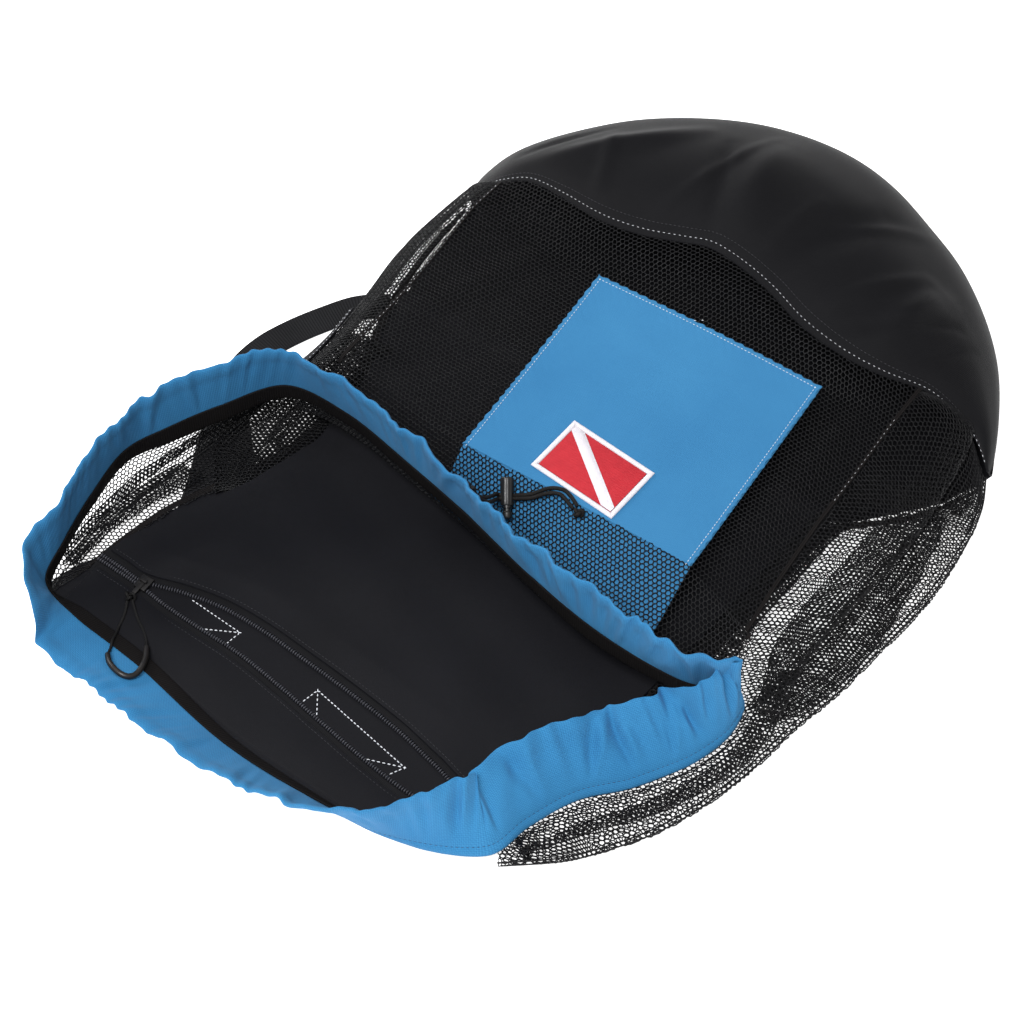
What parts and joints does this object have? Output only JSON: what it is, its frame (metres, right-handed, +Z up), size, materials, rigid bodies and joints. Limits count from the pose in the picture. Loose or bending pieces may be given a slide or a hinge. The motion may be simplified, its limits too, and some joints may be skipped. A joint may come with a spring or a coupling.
{
  "type": "mesh dive gear bag",
  "caption": "Empty drawstring net gear bag lying on its back with its gathered blue mouth cuff spread open, front pocket with a flag patch, zipped back, rounded nylon base and webbing straps.",
  "frame": {"origin": "centre of the plan box at floor level", "axes": "+Z up from the floor it lies on, +Y from the open mouth to the rounded base, +X to the right seen from the mouth"},
  "size_m": [0.5632, 0.7598, 0.108],
  "materials": {
    "blue_fabric": "matte woven nylon",
    "black_net": "open polyester net, built solid",
    "black_nylon": "matte woven nylon",
    "webbing": "ribbed webbing",
    "zip_tape": "woven tape",
    "zip_coil": "nylon coil",
    "patch_white": "embroidered",
    "patch_red": "embroidered",
    "black_plastic": "moulded",
    "black_cord": "braided cord",
    "dark_metal": "blackened"
  },
  "bodies": {
    "bag": {"cuff": "blue_fabric", "cuff_binding": "black_nylon", "front_panel": "black_net", "pocket_back": "blue_fabric", "pocket_face": "blue_fabric", "pocket_net": "black_net", "patch_border": "patch_white", "patch_field": "patch_red", "patch_stripe": "patch_white", "base_cap": "black_nylon", "side_right": "black_net", "side_left": "black_net", "strap_tab": "black_nylon", "back_panel": "black_nylon", "zip_tape_lower": "zip_tape", "zip_tape_upper": "zip_tape", "zip_coil_lower": "zip_coil", "zip_coil_upper": "zip_coil", "facing": "black_nylon", "back_lining": "black_nylon", "strap_left": "webbing", "strap_right": "webbing", "cord_lock_barrel": "black_plastic", "drawcord_far": "black_cord", "drawcord_near": "black_cord", "drawcord_knot": "black_cord", "zip_slider": "dark_metal", "zip_tab": "dark_metal", "zip_loop_left": "black_cord", "zip_grip": "black_plastic", "zip_loop_right": "black_cord", "zip_knot": "black_cord"},
    "lock_button": {"cord_lock_button": "black_plastic"}
  },
  "joints": [
    {"name": "button_press", "type": "slide", "parent": "bag", "child": "lock_button", "axis": [-0.4758, 0.7054, 0.5255], "range_m": [0, 0.004], "stiffness_N_per_m": 300, "springref_m": -0.004}
  ]
}
